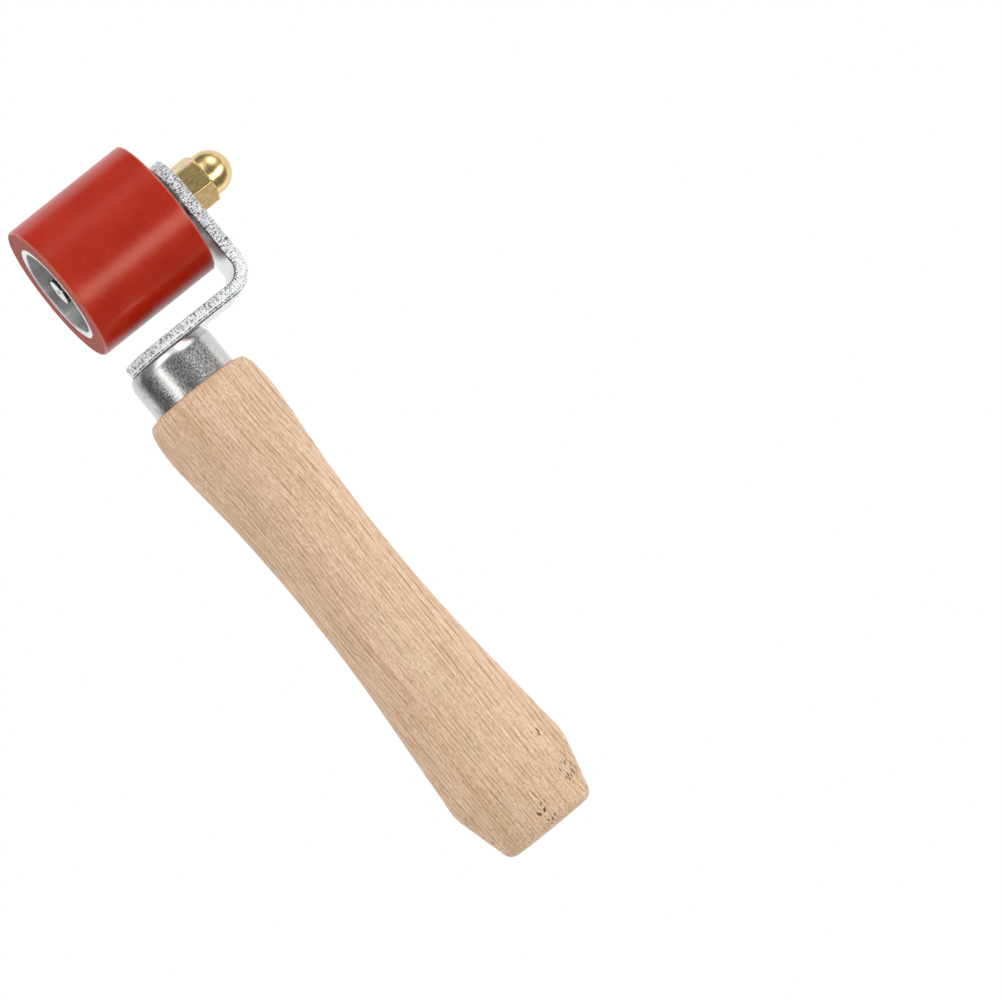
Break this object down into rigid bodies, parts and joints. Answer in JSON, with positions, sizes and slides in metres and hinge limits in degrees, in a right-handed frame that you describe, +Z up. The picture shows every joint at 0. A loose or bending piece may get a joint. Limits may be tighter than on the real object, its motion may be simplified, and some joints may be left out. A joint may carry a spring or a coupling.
{
  "type": "seam roller",
  "caption": "Hand seam roller: a silicone-sleeved roller on ball bearings, held on one side by an L-shaped strip bracket on a turned wooden handle with a metal ferrule.",
  "frame": {"origin": "centre of the flat butt face of the handle", "axes": "+Z up the handle towards the roller; +X along the roller's axle, towards the bracket's upright leg and the dome nut; the free end of the axle looks to -X"},
  "size_m": [0.0546, 0.035, 0.1805],
  "materials": {
    "silicone_red": "satin moulded silicone",
    "core_aluminium": "turned",
    "bearing_steel": "ground and polished",
    "cage_steel": "pressed sheet",
    "plain_steel": "turned",
    "zinc_steel": "bright zinc plate with sheared edges",
    "ferrule_steel": "drawn, satin",
    "brass_nut": "polished dome, fine-turned hexagon",
    "handle_wood": "turned and sanded, unfinished"
  },
  "bodies": {
    "handle_frame": {"handle": "handle_wood", "ferrule": "ferrule_steel", "bracket": "zinc_steel", "handle_screw": "plain_steel", "axle": "plain_steel", "retaining_ring": "plain_steel", "outboard_bearing_inner_ring": "bearing_steel", "inboard_bearing_inner_ring": "bearing_steel", "bearing_spacer": "core_aluminium", "bracket_bush": "plain_steel", "dome_nut": "brass_nut"},
    "roller": {"silicone_sleeve": "silicone_red", "roller_core": "core_aluminium", "outboard_bearing_outer_ring": "bearing_steel", "inboard_bearing_outer_ring": "bearing_steel", "outboard_bearing_outer_shield": "bearing_steel", "outboard_bearing_inner_shield": "bearing_steel", "inboard_bearing_outer_shield": "bearing_steel", "inboard_bearing_inner_shield": "bearing_steel"},
    "outboard_ball_set": {"outboard_bearing_cage": "cage_steel", "outboard_bearing_ball_1": "bearing_steel", "outboard_bearing_ball_2": "bearing_steel", "outboard_bearing_ball_3": "bearing_steel", "outboard_bearing_ball_4": "bearing_steel", "outboard_bearing_ball_5": "bearing_steel", "outboard_bearing_ball_6": "bearing_steel", "outboard_bearing_ball_7": "bearing_steel"},
    "inboard_ball_set": {"inboard_bearing_cage": "cage_steel", "inboard_bearing_ball_1": "bearing_steel", "inboard_bearing_ball_2": "bearing_steel", "inboard_bearing_ball_3": "bearing_steel", "inboard_bearing_ball_4": "bearing_steel", "inboard_bearing_ball_5": "bearing_steel", "inboard_bearing_ball_6": "bearing_steel", "inboard_bearing_ball_7": "bearing_steel"}
  },
  "joints": [
    {"name": "roller_spin", "type": "hinge", "parent": "handle_frame", "child": "roller", "pos_m": [0.0053, 0, 0.163], "axis": [1, 0, 0], "continuous": true},
    {"name": "outboard_balls_spin", "type": "hinge", "parent": "handle_frame", "child": "outboard_ball_set", "pos_m": [-0.0021, 0, 0.163], "axis": [1, 0, 0], "continuous": true},
    {"name": "inboard_balls_spin", "type": "hinge", "parent": "handle_frame", "child": "inboard_ball_set", "pos_m": [0.0127, 0, 0.163], "axis": [1, 0, 0], "continuous": true}
  ],
  "couplings": [
    {"joint": "outboard_balls_spin", "follows": "roller_spin", "ratio": 0.63},
    {"joint": "inboard_balls_spin", "follows": "roller_spin", "ratio": 0.63}
  ]
}
